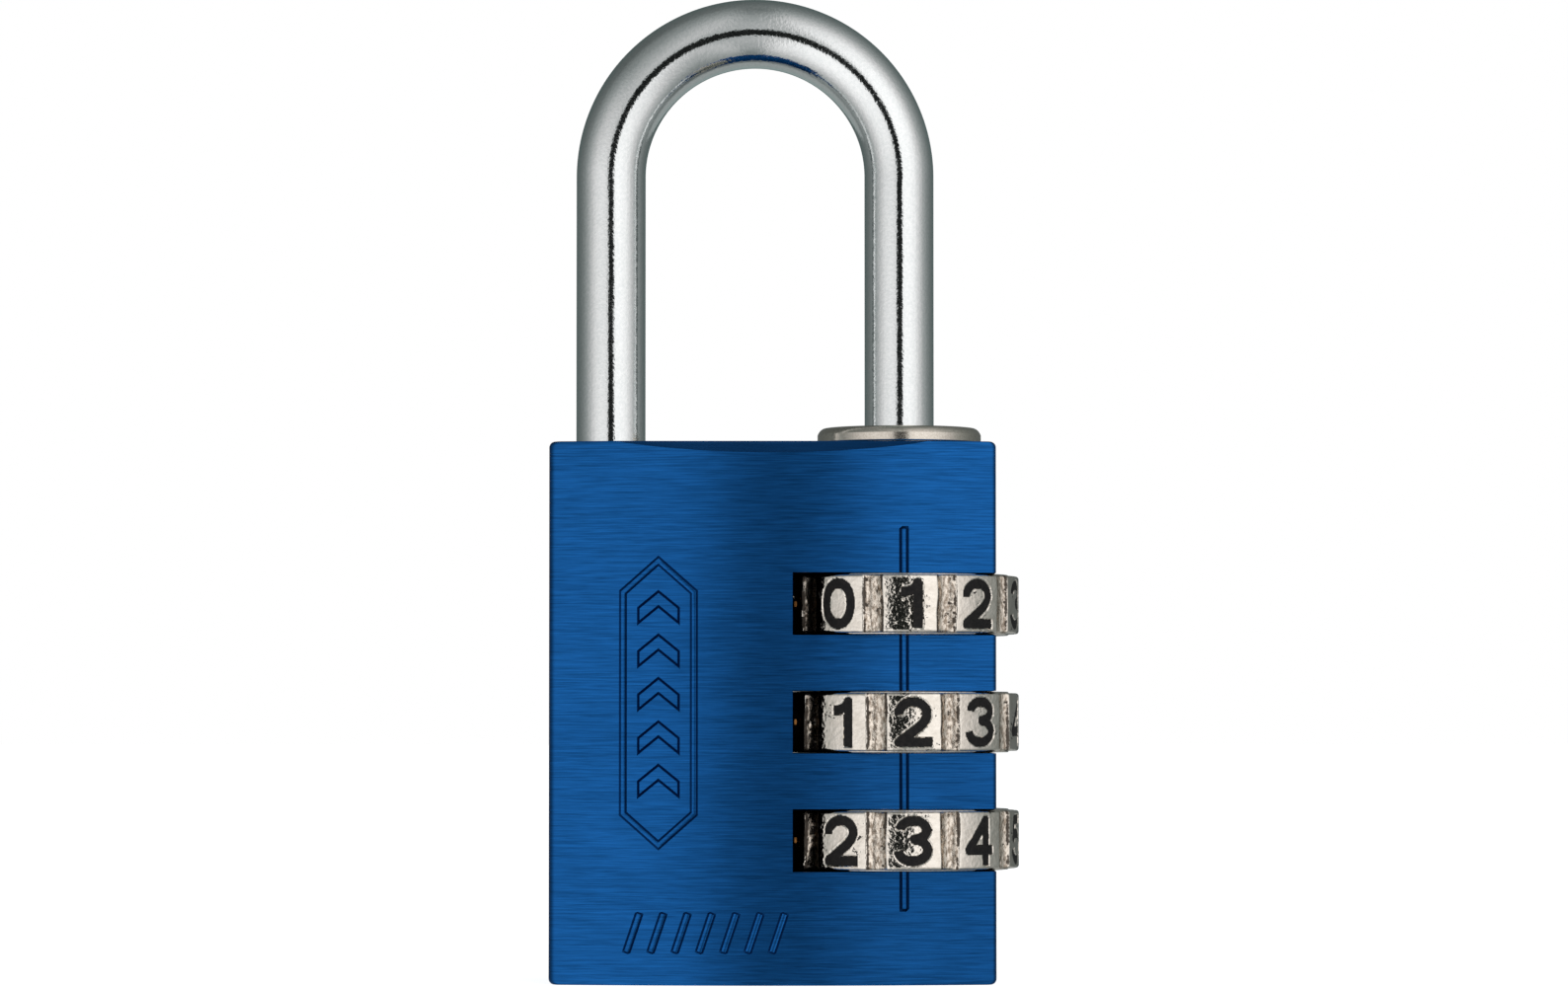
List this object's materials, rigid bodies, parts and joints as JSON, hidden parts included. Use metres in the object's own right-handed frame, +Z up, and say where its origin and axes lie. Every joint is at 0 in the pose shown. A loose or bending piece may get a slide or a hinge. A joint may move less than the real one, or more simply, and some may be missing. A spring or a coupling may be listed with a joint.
{
  "type": "combination padlock",
  "caption": "Solid metal padlock with a round steel shackle, a guide collar on one leg and ring-shaped number wheels set into pockets in one side.",
  "frame": {"origin": "centre of the body's bottom face", "axes": "+Z up along the shackle's legs, -Y out of the front face, +X towards the side the number wheels stand out of"},
  "size_m": [0.0317, 0.0162, 0.0668],
  "materials": {
    "anodised_body": "blue anodised, fine horizontal brushing",
    "shackle_steel": "satin chrome plated steel",
    "nickel_trim": "satin nickel",
    "cast_dial": "nickel plated die casting, polished pads and rough grooves",
    "digit_enamel": "black enamel in the recessed numerals",
    "sleeve_brass": "machined brass",
    "spring_steel": "bright spring steel",
    "bronze_strip": "phosphor bronze strip"
  },
  "bodies": {
    "lock_body": {"body_block": "anodised_body", "shackle_collar": "nickel_trim", "return_spring": "spring_steel", "detent_spring_1": "bronze_strip", "detent_spring_2": "bronze_strip", "detent_spring_3": "bronze_strip"},
    "shackle": {"shackle": "shackle_steel", "locking_pin_1": "spring_steel", "locking_pin_2": "spring_steel", "locking_pin_3": "spring_steel"},
    "thrust_washer": {"thrust_washer": "spring_steel"},
    "dial_1": {"dial_1": "cast_dial"},
    "code_sleeve_1": {"code_sleeve_1": "sleeve_brass"},
    "dial_2": {"dial_2": "cast_dial"},
    "code_sleeve_2": {"code_sleeve_2": "sleeve_brass"},
    "dial_3": {"dial_3": "cast_dial"},
    "code_sleeve_3": {"code_sleeve_3": "sleeve_brass"}
  },
  "joints": [
    {"name": "shackle_lift", "type": "slide", "parent": "lock_body", "child": "shackle", "axis": [0, 0, 1], "range_m": [0, 0.0066]},
    {"name": "thrust_washer_press", "type": "slide", "parent": "lock_body", "child": "thrust_washer", "axis": [0, 0, -1], "range_m": [0, 0.0019], "stiffness_N_per_m": 1000, "springref_m": -0.004, "deforming": ["return_spring"]},
    {"name": "dial_1_turn", "type": "hinge", "parent": "lock_body", "child": "dial_1", "pos_m": [0.0086, 0, 0.02548], "axis": [0, 0, 1], "continuous": true, "deforming": ["detent_spring_1"]},
    {"name": "code_sleeve_1_slide", "type": "slide", "parent": "dial_1", "child": "code_sleeve_1", "axis": [0, 0, -1], "range_m": [0, 0.0019]},
    {"name": "dial_2_turn", "type": "hinge", "parent": "lock_body", "child": "dial_2", "pos_m": [0.0086, 0, 0.01757], "axis": [0, 0, 1], "continuous": true, "deforming": ["detent_spring_2"]},
    {"name": "code_sleeve_2_slide", "type": "slide", "parent": "dial_2", "child": "code_sleeve_2", "axis": [0, 0, -1], "range_m": [0, 0.0019]},
    {"name": "dial_3_turn", "type": "hinge", "parent": "lock_body", "child": "dial_3", "pos_m": [0.0086, 0, 0.00966], "axis": [0, 0, 1], "continuous": true, "deforming": ["detent_spring_3"]},
    {"name": "code_sleeve_3_slide", "type": "slide", "parent": "dial_3", "child": "code_sleeve_3", "axis": [0, 0, -1], "range_m": [0, 0.0019]}
  ],
  "couplings": [
    {"joint": "code_sleeve_1_slide", "follows": "thrust_washer_press", "ratio": 1},
    {"joint": "code_sleeve_2_slide", "follows": "thrust_washer_press", "ratio": 1},
    {"joint": "code_sleeve_3_slide", "follows": "thrust_washer_press", "ratio": 1}
  ]
}
